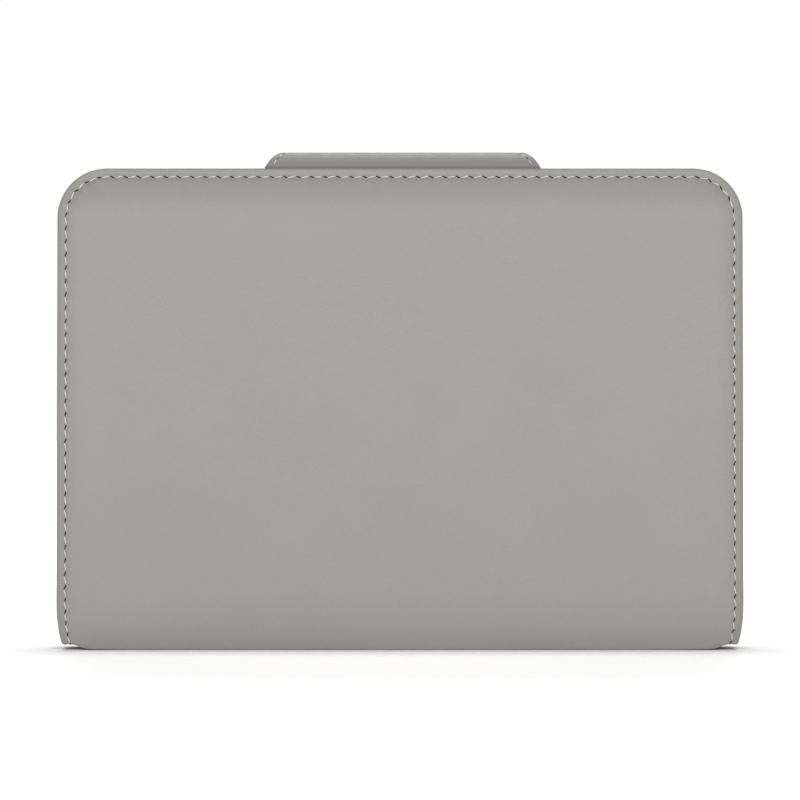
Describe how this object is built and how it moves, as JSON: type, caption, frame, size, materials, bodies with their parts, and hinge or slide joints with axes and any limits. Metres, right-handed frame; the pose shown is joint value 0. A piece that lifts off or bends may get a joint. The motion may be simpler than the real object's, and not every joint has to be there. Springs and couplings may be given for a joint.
{
  "type": "padfolio",
  "caption": "Small zipperless padfolio standing closed on its spine: padded faux-leather covers, magnetic strap over the fore edge, writing pad, pen loop and pockets inside.",
  "frame": {"origin": "middle of the flat face under the spine, which the closed padfolio stands on", "axes": "+X along the spine, towards the head of the writing pad; +Y from the back cover to the front cover; +Z from the spine up to the fore edge"},
  "size_m": [0.235, 0.0266, 0.1701],
  "materials": {
    "cover_pu": "matte",
    "pocket_pu": "matte",
    "lining_cloth": "matte",
    "foam": "matte",
    "greyboard": "matte",
    "paper": "matte",
    "binding_tape": "matte",
    "elastic": "matte",
    "core_sheet": "matte",
    "bonded_magnet": "matte",
    "keeper_steel": "satin"
  },
  "bodies": {
    "spine": {"spine_skin": "cover_pu", "spine_foam": "foam", "spine_board": "greyboard", "spine_lining": "lining_cloth", "pen_loop": "elastic"},
    "back_cover": {"back_skin": "cover_pu", "back_foam": "foam", "back_board": "greyboard", "back_lining": "lining_cloth", "pad_pocket": "pocket_pu", "strap_root": "cover_pu"},
    "front_cover": {"front_skin": "cover_pu", "front_foam": "foam", "front_board": "greyboard", "front_lining": "lining_cloth", "document_pocket": "pocket_pu", "card_slot_1": "pocket_pu", "card_slot_2": "pocket_pu", "card_slot_3": "pocket_pu", "closure_plate": "keeper_steel"},
    "closure_strap": {"strap_skin": "cover_pu", "strap_lining": "pocket_pu"},
    "closure_flap": {"flap_skin": "cover_pu", "flap_lining": "pocket_pu", "flap_core": "core_sheet", "flap_magnet": "bonded_magnet"},
    "writing_pad": {"pad_backing": "greyboard", "pad_sheets": "paper", "pad_binding": "binding_tape"}
  },
  "joints": [
    {"name": "back_cover_fold", "type": "hinge", "parent": "spine", "child": "back_cover", "pos_m": [0, -0.01246, 0.00104], "axis": [1, 0, 0], "range_deg": [0, 91]},
    {"name": "front_cover_fold", "type": "hinge", "parent": "spine", "child": "front_cover", "pos_m": [0, 0.01246, 0.00104], "axis": [-1, 0, 0], "range_deg": [0, 91]},
    {"name": "strap_fold", "type": "hinge", "parent": "back_cover", "child": "closure_strap", "pos_m": [0, -0.00644, 0.1642], "axis": [1, 0, 0], "range_deg": [0, 60]},
    {"name": "flap_fold", "type": "hinge", "parent": "closure_strap", "child": "closure_flap", "pos_m": [0, 0.01204, 0.16434], "axis": [1, 0, 0], "range_deg": [0, 120], "deforming": ["flap_skin", "flap_lining", "flap_core", "flap_magnet"]},
    {"name": "writing_pad_slide", "type": "slide", "parent": "back_cover", "child": "writing_pad", "axis": [1, 0, 0], "range_m": [0, 0.215]}
  ]
}
